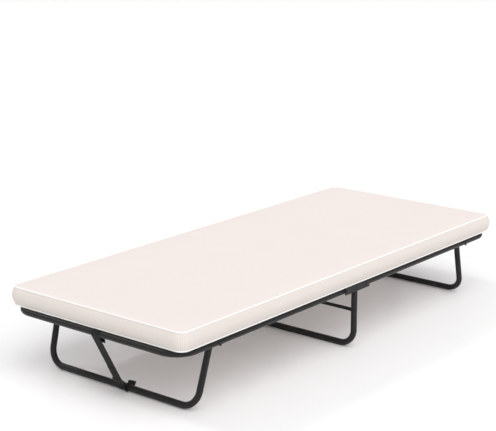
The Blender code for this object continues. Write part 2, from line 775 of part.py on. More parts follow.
def make_half(end_name, end):
    """Everything that folds with one half of the bed, hung on its joints' axes."""
    fold = new_axis(end_name + "_fold_axis", (end * PIVOT_X, 0, RAIL_HEIGHT))
    leg_axis = new_axis(end_name + "_leg_axis", (end * LEG_PIVOT_X, 0, LEG_PIVOT_Z), fold)
    strap_axis = new_axis(end_name + "_strap_axis", (end * CROSSBAR_X, 0, CROSSBAR_Z), leg_axis)
    with_fold = [make_half_frame(end_name, end), make_mesh(end_name, end)]
    with_leg = [make_end_leg(end_name, end)]
    with_strap = [make_leg_strap(end_name, end), make_strap_keeper(end_name, end)]
    for side_name, side in SIDES:
        with_fold.append(make_stub_plug(f"stub_plug_{end_name}_{side_name}", end, side))
        with_leg += make_leg_pivot(f"{end_name}_{side_name}", end, side)
        if end > 0:
            with_fold.append(make_closure_strap(side_name, side))
    for axis, pieces in ((fold, with_fold), (leg_axis, with_leg), (strap_axis, with_strap)):
        for piece in pieces:
            hang(piece, axis)


clear_scene()
PARTS = new_collection("rollaway_bed", False)
CUTTERS = new_collection("cutters", True)
STEEL_BLACK = new_material("black_powder_coated_steel", (0.030, 0.030, 0.032), 0.45)
ZINC = new_material("zinc_plated_wire", (0.72, 0.73, 0.74), 0.30, 1.0)
PLASTIC_BLACK = new_material("black_plastic", (0.020, 0.020, 0.021), 0.50)
NYLON = new_material("white_nylon", (0.80, 0.80, 0.78), 0.50)
WEBBING = new_material("black_webbing", (0.015, 0.015, 0.016), 0.90)
COVER_CLOTH = new_material("cream_knitted_cover", (0.87, 0.80, 0.76), 0.90)
PIPING_CLOTH = new_material("white_piping", (0.92, 0.92, 0.91), 0.85)
FOAM = new_material("pale_foam", (0.85, 0.80, 0.62), 0.95)
SIDES = (("near", -1), ("far", 1))
ENDS = (("foot", -1), ("head", 1))

make_centre_leg()
make_centre_leg_brace()
for side_name, side in SIDES:
    make_hinge_plate(side_name, side)
    make_rivets(side_name, side)
    for end_name, end in ENDS:
        make_fold_pivot(f"{end_name}_{side_name}", end * PIVOT_X, side)
for end_name, end in ENDS:
    make_half(end_name, end)
make_mattress()
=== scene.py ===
import json
import math

import bpy
from mathutils import Matrix, Vector, noise


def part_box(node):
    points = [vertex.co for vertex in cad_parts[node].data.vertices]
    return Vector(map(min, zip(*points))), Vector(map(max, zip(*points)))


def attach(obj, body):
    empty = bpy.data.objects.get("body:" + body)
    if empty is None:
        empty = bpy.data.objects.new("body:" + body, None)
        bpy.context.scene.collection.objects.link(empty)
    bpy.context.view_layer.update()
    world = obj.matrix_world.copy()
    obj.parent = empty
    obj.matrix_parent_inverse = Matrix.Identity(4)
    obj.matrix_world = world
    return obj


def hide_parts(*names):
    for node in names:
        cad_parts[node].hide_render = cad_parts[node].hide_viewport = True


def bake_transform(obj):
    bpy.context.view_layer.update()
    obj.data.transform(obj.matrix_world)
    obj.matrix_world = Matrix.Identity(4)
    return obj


# A rollaway bed: a piped foam mattress on two sprung half frames that fold down about a standing
# centre leg. Metres, +Z up, foot end at -X, head end at +X, near long side at -Y.

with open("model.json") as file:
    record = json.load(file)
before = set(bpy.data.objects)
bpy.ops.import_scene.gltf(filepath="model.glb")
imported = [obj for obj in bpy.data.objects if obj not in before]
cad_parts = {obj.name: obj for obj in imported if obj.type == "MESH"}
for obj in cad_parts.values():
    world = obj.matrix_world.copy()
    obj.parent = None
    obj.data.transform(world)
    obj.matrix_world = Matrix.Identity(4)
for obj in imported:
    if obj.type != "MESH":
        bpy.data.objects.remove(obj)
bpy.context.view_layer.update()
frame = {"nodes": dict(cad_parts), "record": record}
NODES = frame["nodes"]
ENDS = (("foot", -1), ("head", 1))
SIDES = (("near", -1), ("far", 1))

# Tubes: sizes read from the frame, and the bends that it can't state
rail_low, rail_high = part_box("head_frame")
leg_low, leg_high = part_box("head_leg")
centre_low, centre_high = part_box("centre_leg")
RAIL_RADIUS = (rail_high.z - rail_low.z) / 2
RAIL_Z = (rail_high.z + rail_low.z) / 2
RAIL_Y = rail_high.y - RAIL_RADIUS
END_RAIL_X = rail_high.x - RAIL_RADIUS
STUB_X = rail_low.x
RAIL_INNER_Y = RAIL_Y - RAIL_RADIUS
LEG_RADIUS = 0.0112
LEG_PIVOT_X = leg_low.x + LEG_RADIUS
LEG_PIVOT_Z = leg_high.z - LEG_RADIUS
LEG_END_Y = leg_high.y
CROSSBAR_X = leg_high.x - LEG_RADIUS
CROSSBAR_Z = leg_low.z + LEG_RADIUS
CENTRE_LEG_Y = centre_high.y - LEG_RADIUS
BOLT_HEAD_RADIUS = 0.0068
PIVOT_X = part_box("fold_bolt_head_near")[1].x - BOLT_HEAD_RADIUS
RAIL_CORNER = 0.075
LEG_TOP_INSET = 0.0183
LEG_TAPER = 0.0094
LEG_FOOT_BEND = 0.062
LEG_TOP_BEND = 0.014
CENTRE_LEG_BEND = 0.058
TUBE_WALL = 0.0012
BEND_STEPS = 14

# Wire mesh
WIRE_COUNT = 12
ROW_COUNT = 8
HOOK_COUNT = 7
SPRING_REACH = 0.081
MESH_Y = RAIL_INNER_Y - SPRING_REACH
ROW_PITCH = (LEG_PIVOT_X + LEG_RADIUS + 0.005 - PIVOT_X) / (ROW_COUNT - 1)
WIRE_PITCH = 2 * MESH_Y / (WIRE_COUNT - 1)
HOOK_PITCH = 2 * (MESH_Y + 0.002) / (HOOK_COUNT - 1)
WIRE_RADIUS = 0.00125
ROD_RADIUS = 0.0015
COIL_WIRE = 0.0009
COIL_RADIUS = 0.0046
COIL_LENGTH = 0.042
COIL_TURNS = 15
COIL_TO_RAIL = 0.0075
KINK_DEPTH = WIRE_RADIUS + ROD_RADIUS
KINK_SHAPE = ((-0.012, 0.0), (-0.0045, 0.7), (0.0, 1.0), (0.0045, 0.7), (0.012, 0.0))
HOOK_APEX_INSET = 0.100

# Webbing
STRAP_WIDTH = 0.038
STRAP_THICKNESS = 0.0010
STRAP_OFFSET = sum(corner.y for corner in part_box("head_leg_strap")) / 2
STRAP_TAIL = 0.035
STRAP_SEAT = STRAP_THICKNESS / 2 + 0.0002
KEEPER_BAR = 0.0044

# Mattress: its seams lie where the pipings do
piping_low, piping_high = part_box("mattress_piping_top")
PIPING_RADIUS = (piping_high.z - piping_low.z) / 2
SEAM_X = piping_high.x - PIPING_RADIUS
SEAM_Y = piping_high.y - PIPING_RADIUS
SEAM_TOP = (piping_high.z + piping_low.z) / 2
SEAM_BOTTOM = sum(corner.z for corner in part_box("mattress_piping_bottom")) / 2
CORNER_RADIUS = 0.031
BORDER_BULGE = 0.0145
PANEL_CROWN = 0.0034
CROWN_RUN = 0.030
PANEL_RIPPLE = 0.00035


# Shader tools --------------------------------------------------------------------------------


class Signal:
    """A shader socket that takes part in ordinary sums: each sum adds its Math node."""

    def __init__(self, tree, socket):
        self.tree = tree
        self.socket = socket

    def math(self, operation, *values):
        node = self.tree.nodes.new("ShaderNodeMath")
        node.operation = operation
        for place, value in enumerate(values):
            feed(self.tree, node.inputs[place], value)
        return Signal(self.tree, node.outputs[0])

    def __add__(self, other):
        return self.math("ADD", self, other)

    def __radd__(self, other):
        return self.math("ADD", other, self)

    def __sub__(self, other):
        return self.math("SUBTRACT", self, other)

    def __rsub__(self, other):
        return self.math("SUBTRACT", other, self)

    def __mul__(self, other):
        return self.math("MULTIPLY", self, other)

    def __rmul__(self, other):
        return self.math("MULTIPLY", other, self)

    def __abs__(self):
        return self.math("ABSOLUTE", self)

    def wave(self, pitch):
        """A smooth ripple from 0 to 1, which repeats at the pitch."""
        return self.math("SINE", self * (2 * math.pi / pitch)) * 0.5 + 0.5

    def above(self, edge, softness):
        """0 below the edge, 1 above it, and a ramp between."""
        node = self.tree.nodes.new("ShaderNodeMapRange")
        node.interpolation_type = "SMOOTHSTEP"
        feed(self.tree, node.inputs["Value"], self)
        node.inputs["From Min"].default_value = edge - softness
        node.inputs["From Max"].default_value = edge + softness
        return Signal(self.tree, node.outputs[0])


def feed(tree, socket, value):
    if isinstance(value, Signal):
        tree.links.new(value.socket, socket)
    else:
        socket.default_value = value


class Finish:
    """A material in the making, with one Principled shader."""

    def __init__(self, name):
        self.material = bpy.data.materials.new(name)
        self.material.use_nodes = True
        self.tree = self.material.node_tree
        self.shader = self.tree.nodes["Principled BSDF"]

    def node(self, kind, settings=None, sockets=None, output=0):
        """Add a node: its settings first, then its sockets' values or links."""
        node = self.tree.nodes.new(kind)
        for key, value in (settings or {}).items():
            setattr(node, key, value)
        for key, value in (sockets or {}).items():
            feed(self.tree, node.inputs[key], value)
        return Signal(self.tree, node.outputs[output])

    def place(self):
        return self.node("ShaderNodeTexCoord", output="Object")

    def axes(self, vector):
        node = self.tree.nodes.new("ShaderNodeSeparateXYZ")
        feed(self.tree, node.inputs[0], vector)
        return [Signal(self.tree, socket) for socket in node.outputs]

    def attribute(self, name):
        return self.node("ShaderNodeAttribute", {"attribute_name": name}, output="Fac")

    def noise(self, scale, detail=2.0, roughness=0.5):
        sockets = {"Vector": self.place(), "Scale": scale, "Detail": detail, "Roughness": roughness}
        return self.node("ShaderNodeTexNoise", None, sockets, "Fac")

    def mix(self, factor, first, second):
        sockets = {"Factor": factor, 6: first, 7: second}
        return self.node("ShaderNodeMix", {"data_type": "RGBA"}, sockets, 2)

    def bump(self, height, depth):
        sockets = {"Height": height, "Distance": depth, "Strength": 1.0}
        self.set("Normal", self.node("ShaderNodeBump", None, sockets, "Normal"))

    def set(self, name, value):
        feed(self.tree, self.shader.inputs[name], value)


def grey(value, warmth=0.0):
    """A grey, or a slightly warm one."""
    return (value * (1 + warmth), value, value * (1 - warmth), 1.0)


# Finishes ------------------------------------------------------------------------------------


def powder_coat():
    """Black powder coat: a fine orange peel, cloudy gloss, and a little rubbing near the floor."""
    finish = Finish("black_powder_coat")
    peel = finish.noise(900, 2)
    cloud = finish.noise(16, 4, 0.6)
    height = finish.axes(finish.place())[2]
    rubbed = (1 - height.above(0.012, 0.010)) * finish.noise(160, 4, 0.7).above(0.60, 0.06)
    coat = finish.mix(cloud, grey(0.007), grey(0.014))
    finish.set("Base Color", finish.mix(rubbed * 0.35, coat, grey(0.10, 0.02)))
    finish.set("Roughness", 0.33 + cloud * 0.14 + peel * 0.06 + rubbed * 0.2)
    finish.set("Specular IOR Level", 0.28)
    finish.bump(peel + cloud * 0.4, 0.00012)
    return finish.material


def black_zinc():
    """Blackened zinc on the fasteners: darker in the hollows, with a trace of metal at the rims."""
    finish = Finish("black_zinc")
    cloud = finish.noise(240, 4, 0.6)
    finish.set("Base Color", finish.mix(cloud, grey(0.020), grey(0.070, 0.02)))
    finish.set("Metallic", 0.55 + cloud * 0.3)
    finish.set("Roughness", 0.30 + cloud * 0.22)
    finish.bump(cloud, 0.00008)
    return finish.material


def zinc_wire():
    """Bright zinc-plated wire: drawn lines, spangle, and duller patches."""
    finish = Finish("bright_zinc_wire")
    spangle = finish.noise(420, 3, 0.6)
    patch = finish.noise(30, 3, 0.5)
    finish.set("Base Color", finish.mix(spangle, grey(0.52), grey(0.78)))
    finish.set("Metallic", 0.94)
    finish.set("Roughness", 0.20 + patch * 0.22 + spangle * 0.08)
    finish.bump(spangle, 0.00006)
    return finish.material


def moulded_black():
    """Black plastic from a lightly sparked mould."""
    finish = Finish("moulded_black_plastic")
    spark = finish.noise(1500, 3, 0.6)
    cloud = finish.noise(40, 3)
    finish.set("Base Color", finish.mix(cloud, grey(0.012), grey(0.022)))
    finish.set("Roughness", 0.42 + spark * 0.12 + cloud * 0.08)
    finish.bump(spark, 0.00008)
    return finish.material


def natural_nylon():
    """Uncoloured nylon, which lets a little light in."""
    finish = Finish("natural_nylon")
    cloud = finish.noise(120, 3)
    finish.set("Base Color", finish.mix(cloud, grey(0.66, 0.02), grey(0.80, 0.01)))
    finish.set("Roughness", 0.38 + cloud * 0.18)
    finish.bump(cloud, 0.00006)
    finish.set("Subsurface Weight", 0.1)
    finish.set("Subsurface Radius", (0.002, 0.002, 0.0015))
    return finish.material


def black_webbing():
    """Woven polypropylene webbing, read along and across the strap in metres."""
    finish = Finish("black_webbing")
    run = finish.node("ShaderNodeUVMap", {"uv_map": "UVMap"})
    along, across, _ = finish.axes(run)
    skewed = along + abs(across.wave(0.0064) - 0.5) * 0.0036
    ribs = skewed.wave(0.0018)
    threads = across.wave(0.0016)
    weave = ribs * 0.65 + threads * 0.35
    fluff = finish.noise(700, 3, 0.7)
    shade = weave * 0.6 + fluff * 0.4
    finish.set("Base Color", finish.mix(shade, grey(0.004), grey(0.017)))
    finish.set("Roughness", 0.72 + fluff * 0.2)
    finish.set("Specular IOR Level", 0.25)
    finish.bump(weave + fluff * 0.25, 0.00035)
    finish.set("Sheen Weight", 0.04)
    finish.set("Sheen Roughness", 0.4)
    return finish.material


def panel_cloth():
    """The top and bottom panels: a close knit with small offset loops and a soft, uneven tone."""
    finish = Finish("cream_panel_knit")
    east, north, _ = finish.axes(finish.place())
    wales = east.wave(0.0021)
    courses = (north + wales * 0.0004).wave(0.0016)
    loops = wales * courses
    fibre = finish.noise(900, 4, 0.7)
    drift = finish.noise(5, 4, 0.6)
    tone = finish.mix(drift, (0.790, 0.712, 0.684, 1), (0.815, 0.738, 0.710, 1))
    grain = (loops * 0.6 + fibre * 0.4) * 0.10
    finish.set("Base Color", finish.mix(grain, tone, (0.62, 0.55, 0.51, 1)))
    finish.set("Roughness", 0.82 + fibre * 0.14)
    finish.bump(loops * 0.8 + fibre * 0.5, 0.00022)
    finish.set("Sheen Weight", 0.10)
    finish.set("Sheen Roughness", 0.5)
    return finish.material


def border_cloth():
    """The border: the same cloth with fine upright ribs that follow it round the corners. Its tone is painted
    a little darker than the panels' as painted shade on the bed's sides, and the grooves between its ribs are
    painted darker as painted shade.
    """
    finish = Finish("cream_border_rib_painted_shade")
    run = finish.attribute("border_run")
    height = finish.axes(finish.place())[2]
    wander = finish.noise(18, 2) * 0.0012
    ribs = (run + wander).wave(0.0055)
    fine = run.wave(0.00275)
    courses = height.wave(0.0019)
    fibre = finish.noise(800, 4, 0.7)
    drift = finish.noise(9, 4, 0.6)
    # Painted shade: the border's tone is set a little darker than the panels' knit, for the dimmer light on
    # the bed's sides.
    tone = finish.mix(drift, (0.715, 0.658, 0.622, 1), (0.750, 0.692, 0.655, 1))
    # Painted shade: the grooves between the ribs, coarse and fine, are mixed darker, with a random fibre tone
    # on top.
    shade = (1 - ribs) * 0.20 + (1 - fine) * 0.05 + fibre * 0.08
    finish.set("Base Color", finish.mix(shade, tone, (0.66, 0.57, 0.51, 1)))
    finish.set("Roughness", 0.84 + fibre * 0.12)
    finish.bump(ribs + fine * 0.35 + courses * 0.12 + fibre * 0.2, 0.00055)
    finish.set("Sheen Weight", 0.10)
    finish.set("Sheen Roughness", 0.5)
    return finish.material


def piping_cloth():
    """White bias-cut piping, with its threads running round at a slant."""
    finish = Finish("white_piping_cloth")
    east, north, up = finish.axes(finish.place())
    slant = (east + north + up * 2.0).wave(0.0017)
    fibre = finish.noise(1100, 3, 0.7)
    tone = finish.mix(slant * 0.5 + fibre * 0.5, (0.93, 0.92, 0.90, 1), (0.98, 0.975, 0.965, 1))
    finish.set("Base Color", tone)
    finish.set("Roughness", 0.78 + fibre * 0.15)
    finish.bump(slant + fibre * 0.5, 0.00018)
    return finish.material


def zip_plastic():
    """The zip's cream plastic coil."""
    finish = Finish("cream_zip_coil")
    cloud = finish.noise(500, 3)
    finish.set("Base Color", finish.mix(cloud, (0.74, 0.69, 0.64, 1), (0.86, 0.81, 0.77, 1)))
    finish.set("Roughness", 0.36 + cloud * 0.2)
    finish.bump(cloud, 0.00008)
    return finish.material


def plated_metal():
    """Plated metal on the zip's slider."""
    finish = Finish("plated_metal")
    cloud = finish.noise(300, 3)
    finish.set("Base Color", finish.mix(cloud, grey(0.50), grey(0.72)))
    finish.set("Metallic", 0.95)
    finish.set("Roughness", 0.22 + cloud * 0.2)
    finish.bump(cloud, 0.00005)
    return finish.material


FINISHES = {
    "black_steel": powder_coat(),
    "black_fasteners": black_zinc(),
    "spring_wire": zinc_wire(),
    "black_plastic": moulded_black(),
    "nylon": natural_nylon(),
    "webbing": black_webbing(),
    "piping_cloth": piping_cloth(),
    "zip_coil": zip_plastic(),
    "zip_slider": plated_metal(),
}
PANEL = panel_cloth()
BORDER = border_cloth()


# Modelling tools -----------------------------------------------------------------------------


def deselect():
    bpy.ops.object.select_all(action="DESELECT")


def pick(piece):
    """Make a piece the only one selected and the active one."""
    deselect()
    piece.select_set(True)
    bpy.context.view_layer.objects.active = piece
    return piece


def settle(piece):
    """Apply a piece's place, turn and size to its mesh."""
    pick(piece)
    bpy.ops.object.transform_apply(location=True, rotation=True, scale=True)
    return piece


def apply_all(piece):
    """Apply all of a piece's modifiers."""
    pick(piece)
    for modifier in list(piece.modifiers):
        bpy.ops.object.modifier_apply(modifier=modifier.name)
    return piece


def weld(piece, distance=0.00002):
    """Merge doubled points and turn every face outwards."""
    pick(piece)
    bpy.ops.object.mode_set(mode="EDIT")
    bpy.ops.mesh.select_all(action="SELECT")
    bpy.ops.mesh.remove_doubles(threshold=distance)
    bpy.ops.mesh.normals_make_consistent(inside=False)
    bpy.ops.object.mode_set(mode="OBJECT")
    return piece


def join(name, pieces):
    """Make one piece of several, or name a piece that is alone."""
    deselect()
    for piece in pieces:
        piece.select_set(True)
    bpy.context.view_layer.objects.active = pieces[0]
    if len(pieces) > 1:
        bpy.ops.object.join()
    pieces[0].name = name
    return pieces[0]


def finished(piece, slot, body, stands_for=(), angle=40, material=None):
    """Shade a piece, give it its finish, and say what it rides on and stands for."""
    settle(piece)
    bpy.ops.object.shade_smooth_by_angle(angle=math.radians(angle))
    piece.data.materials.clear()
    piece.data.materials.append(material or FINISHES[slot])
    if body:
        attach(piece, body)
    if stands_for:
        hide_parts(*stands_for)
    return piece


def rounded_path(corners, radii):
    """The points of a path through the corners, with an arc at each bend."""
    corners = [Vector(corner) for corner in corners]
    path = [corners[0]]
    for before, corner, after, bend in zip(corners, corners[1:], corners[2:], radii):
        arriving = (corner - before).normalized()
        leaving = (after - corner).normalized()
        turn = arriving.angle(leaving)
        centre = corner + (leaving - arriving).normalized() * bend / math.cos(turn / 2)
        start = corner - arriving * bend * math.tan(turn / 2) - centre
        axis = arriving.cross(leaving).normalized()
        for k in range(BEND_STEPS + 1):
            path.append(centre + Matrix.Rotation(turn * k / BEND_STEPS, 3, axis) @ start)
    return path + [corners[-1]]


def bars(name, lines, radius, sides=8, caps=True, cyclic=False):
    """Round bars along one or more lines of points, as one mesh."""
    bpy.ops.curve.primitive_bezier_curve_add(location=(0, 0, 0))
    curve = bpy.context.object
    curve.name = name
    data = curve.data
    data.splines.clear()
    data.bevel_depth = radius
    data.bevel_resolution = (sides - 4) // 2
    data.use_fill_caps = caps and not cyclic
    for line in lines:
        spline = data.splines.new("POLY")
        spline.points.add(len(line) - 1)
        spline.use_cyclic_u = cyclic
        for target, point in zip(spline.points, line):
            target.co = (*point, 1.0)
    pick(curve)
    bpy.ops.object.convert(target="MESH")
    return weld(bpy.context.object, radius * 0.02)


def tube(name, path, radius):
    """A bent tube with its real wall, open at both ends."""
    piece = bars(name, [path], radius, sides=28, caps=False)
    wall = piece.modifiers.new("Wall", "SOLIDIFY")
    wall.thickness = TUBE_WALL
    wall.offset = -1.0
    return apply_all(piece)


def ribbon(name, line, sideways, width, thickness):
    """A strap: a grid laid along the line, spread to each side, and given its thickness. Its UV
    map reads along and across the strap in metres."""
    steps = len(line) - 1
    length = sum((b - a).length for a, b in zip(line, line[1:]))
    bpy.ops.mesh.primitive_grid_add(x_subdivisions=steps, y_subdivisions=4, size=1)
    piece = bpy.context.object
    piece.name = name
    for point in piece.data.vertices:
        place = round((point.co.x + 0.5) * steps)
        point.co = line[place] + sideways * width * point.co.y
    for corner in piece.data.uv_layers.active.data:
        corner.uv = (corner.uv[0] * length, corner.uv[1] * width)
    solid = piece.modifiers.new("Thickness", "SOLIDIFY")
    solid.thickness = thickness
    solid.offset = 0.0
    edge = piece.modifiers.new("Edge", "BEVEL")
    edge.width = thickness * 0.3
    edge.segments = 2
    edge.limit_method = "ANGLE"
    edge.angle_limit = math.radians(60)
    return apply_all(piece)


def box(name, size, place, turn=(0, 0, 0), rounding=0.0005):
    """A block with rounded edges."""
    bpy.ops.mesh.primitive_cube_add(size=1, location=place, rotation=turn)
    piece = bpy.context.object
    piece.name = name
    piece.scale = size
    bpy.ops.object.transform_apply(location=False, rotation=False, scale=True)
    edge = piece.modifiers.new("Edge", "BEVEL")
    edge.width = rounding
    edge.segments = 3
    return settle(apply_all(piece))


def select_faces(piece, test):
    """Enter edit mode with just the faces that pass the test selected."""
    pick(piece)
    bpy.ops.object.mode_set(mode="EDIT")
    bpy.ops.mesh.select_mode(type="FACE")
    bpy.ops.mesh.select_all(action="DESELECT")
    bpy.ops.object.mode_set(mode="OBJECT")
    for face in piece.data.polygons:
        face.select = test(face)
    bpy.ops.object.mode_set(mode="EDIT")


def stud(name, radius, height, place, side, sides=32, shank=0.0, reach=0.0):
    """A turned head with a domed face, and a shank behind it. Its axis is Y, and its face looks
    away from the bed on the given side."""
    bpy.ops.mesh.primitive_cylinder_add(vertices=sides, radius=radius, depth=height)
    piece = bpy.context.object
    piece.name = name
    select_faces(piece, lambda face: face.normal.z > 0.9)
    rounds = {"segments": 5, "affect": "EDGES", "clamp_overlap": True}
    bpy.ops.mesh.bevel(offset=min(height * 0.75, radius * 0.5), **rounds)
    bpy.ops.object.mode_set(mode="OBJECT")
    if reach:
        select_faces(piece, lambda face: face.normal.z < -0.9)
        bpy.ops.mesh.inset(thickness=radius - shank, depth=0)
        bpy.ops.mesh.extrude_region_move(TRANSFORM_OT_translate={"value": (0, 0, -reach)})
        bpy.ops.object.mode_set(mode="OBJECT")
    piece.location = place
    piece.rotation_euler = (-side * math.pi / 2, 0, 0)
    return settle(piece)


# Tubes ---------------------------------------------------------------------------------------


def make_frame_tubes(end_name, end):
    """A half's rails with their end rail, and the end leg that hinges under them."""
    corners = [
        (end * STUB_X, -RAIL_Y, RAIL_Z),
        (end * END_RAIL_X, -RAIL_Y, RAIL_Z),
        (end * END_RAIL_X, RAIL_Y, RAIL_Z),
        (end * STUB_X, RAIL_Y, RAIL_Z),
    ]
    rails = tube(end_name + "_rails", rounded_path(corners, [RAIL_CORNER] * 2), RAIL_RADIUS)
    finished(rails, "black_steel", end_name + "_half", [end_name + "_frame"])
    top_y = LEG_END_Y - LEG_TOP_INSET
    foot_y = top_y - LEG_TAPER
    corners = [
        (end * LEG_PIVOT_X, -LEG_END_Y, LEG_PIVOT_Z),
        (end * LEG_PIVOT_X, -top_y, LEG_PIVOT_Z),
        (end * CROSSBAR_X, -foot_y, CROSSBAR_Z),
        (end * CROSSBAR_X, foot_y, CROSSBAR_Z),
        (end * LEG_PIVOT_X, top_y, LEG_PIVOT_Z),
        (end * LEG_PIVOT_X, LEG_END_Y, LEG_PIVOT_Z),
    ]
    bends = [LEG_TOP_BEND, LEG_FOOT_BEND, LEG_FOOT_BEND, LEG_TOP_BEND]
    leg = tube(end_name + "_leg_tube", rounded_path(corners, bends), LEG_RADIUS)
    finished(leg, "black_steel", end_name + "_end_leg", [end_name + "_leg"])


def make_centre_leg():
    """The standing leg between the hinge plates, with its brace welded in."""
    top = centre_high.z
    corners = [
        (0, -CENTRE_LEG_Y, top),
        (0, -CENTRE_LEG_Y, LEG_RADIUS),
        (0, CENTRE_LEG_Y, LEG_RADIUS),
        (0, CENTRE_LEG_Y, top),
    ]
    leg = tube("centre_leg_tube", rounded_path(corners, [CENTRE_LEG_BEND] * 2), LEG_RADIUS)
    finished(leg, "black_steel", "centre_section", ["centre_leg"])
    low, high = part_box("centre_leg_brace")
    radius = (high.z - low.z) / 2
    level = (high.z + low.z) / 2
    reach = CENTRE_LEG_Y - LEG_RADIUS
    pieces = [bars("brace", [[(0, -reach, level), (0, reach, level)]], radius, sides=24)]
    for side in (-1, 1):
        bpy.ops.mesh.primitive_torus_add(
            location=(0, side * (reach + 0.0002), level),
            rotation=(math.pi / 2, 0, 0),
            major_radius=radius + 0.0006,
            minor_radius=0.0016,
            major_segments=32,
            minor_segments=10,
        )
        bead = bpy.context.object
        for point in bead.data.vertices:
            point.co *= 1 + 0.06 * noise.noise(point.co * 900)
        pieces.append(settle(bead))
    brace = join("centre_leg_brace_bar", pieces)
    finished(brace, "black_steel", "centre_section", ["centre_leg_brace"])


# Fasteners and plastic -----------------------------------------------------------------------


def make_fold_pivots():
    """A bolt head, a washer and a cap nut at each of the four pivots of the halves."""
    for end_name, end in ENDS:
        for side_name, side in SIDES:
            tag = f"{end_name}_{side_name}"
            x = end * PIVOT_X
            low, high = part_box("fold_bolt_" + tag)
            outer = high.y if side > 0 else -low.y
            bolt = stud("bolt", BOLT_HEAD_RADIUS, 0.0026, (x, side * (outer - 0.0013), RAIL_Z), side)
            finished(join("bolt_head_" + tag, [bolt]), "black_fasteners", "centre_section",
                     ["fold_bolt_" + tag])
            low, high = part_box("fold_washer_" + tag)
            middle = (low.y + high.y) / 2
            washer = stud("washer", 0.0095, high.y - low.y, (x, middle, RAIL_Z), side)
            finished(join("washer_" + tag, [washer]), "nylon", "centre_section",
                     ["fold_washer_" + tag])
            low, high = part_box("fold_cap_nut_" + tag)
            inner = low.y if side > 0 else -high.y
            outer = high.y if side > 0 else -low.y
            hexagon = stud("hexagon", 0.0075, (outer - inner) * 0.6,
                           (x, side * (outer - (outer - inner) * 0.3), RAIL_Z), -side, sides=6)
            dome = stud("dome", 0.0056, outer - inner,
                        (x, side * (outer + inner) / 2, RAIL_Z), -side)
            nut = join("cap_nut_" + tag, [hexagon, dome])
            finished(nut, "black_fasteners", "centre_section", ["fold_cap_nut_" + tag])


def make_rivets():
    """The rivets that hold the centre leg to its plates."""
    for side_name, side in SIDES:
        for level in ("lower", "upper"):
            node = f"leg_rivet_{side_name}_{level}"
            low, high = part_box(node)
            outer = high.y if side > 0 else -low.y
            place = (0, side * (outer - 0.0008), (low.z + high.z) / 2)
            head = stud("head", 0.0046, 0.0016, place, side)
            finished(join(f"rivet_{side_name}_{level}", [head]), "black_fasteners", "centre_section", [node])


def make_leg_pivots():
    """The pins that the end legs swing on, and the bushes in the legs' ends."""
    for end_name, end in ENDS:
        for side_name, side in SIDES:
            tag = f"{end_name}_{side_name}"
            body = end_name + "_end_leg"
            low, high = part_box("leg_pin_" + tag)
            outer = high.y if side > 0 else -low.y
            inner = low.y if side > 0 else -high.y
            place = (end * LEG_PIVOT_X, side * (outer - 0.0013), LEG_PIVOT_Z)
            pin = stud("pin", 0.0060, 0.0026, place, side, 32, 0.0032, outer - inner - 0.0026)
            finished(join("pivot_pin_" + tag, [pin]), "black_fasteners", body, ["leg_pin_" + tag])
            low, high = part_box("leg_bush_" + tag)
            outer = high.y if side > 0 else -low.y
            place = (end * LEG_PIVOT_X, side * (outer - 0.0005), LEG_PIVOT_Z)
            bush = stud("bush", LEG_RADIUS, 0.001, place, side)
            finished(join("pivot_bush_" + tag, [bush]), "nylon", body, ["leg_bush_" + tag])


def make_rail_plugs():
    """The plugs in the rails' open ends, the feet of the folded bed."""
    for end_name, end in ENDS:
        for side_name, side in SIDES:
            tag = f"{end_name}_{side_name}"
            plug = stud("plug", RAIL_RADIUS, 0.002, (0, 0, 0), 1, 32, 0.0092, 0.012)
            plug.rotation_euler = (0, 0, end * math.pi / 2)
            plug.location = (end * (STUB_X - 0.0013), side * RAIL_Y, RAIL_Z)
            settle(plug)
            finished(join("rail_plug_" + tag, [plug]), "black_plastic", end_name + "_half",
                     ["stub_plug_" + tag])


# Wire mesh -----------------------------------------------------------------------------------


def coil_spring(start, end, coil_start):
    """The line of a spring from its inner hook, through its coil, to its hook on the rail."""
    start, end = Vector(start), Vector(end)
    along = (end - start).normalized()
    sideways = along.cross(Vector((0, 0, 1))).normalized()
    up = sideways.cross(along)
    line = [start - along * 0.002 - up * 0.003, start - along * 0.0035, start + up * 0.001]
    line.append(start + along * (coil_start - 0.003))
    steps = 9 * COIL_TURNS
    for k in range(steps + 1):
        share = k / steps
        reach = coil_start + share * COIL_LENGTH
        radius = COIL_RADIUS * min(1.0, 0.25 + 10 * share, 0.25 + 10 * (1 - share))
        angle = 2 * math.pi * COIL_TURNS * share
        offset = (sideways * math.cos(angle) + up * math.sin(angle)) * radius
        line.append(start + along * reach + offset)
    line.append(start + along * (coil_start + COIL_LENGTH + 0.003))
    line.append(end - along * 0.0012 + up * 0.0006)
    line.append(end + along * 0.0006)
    return line


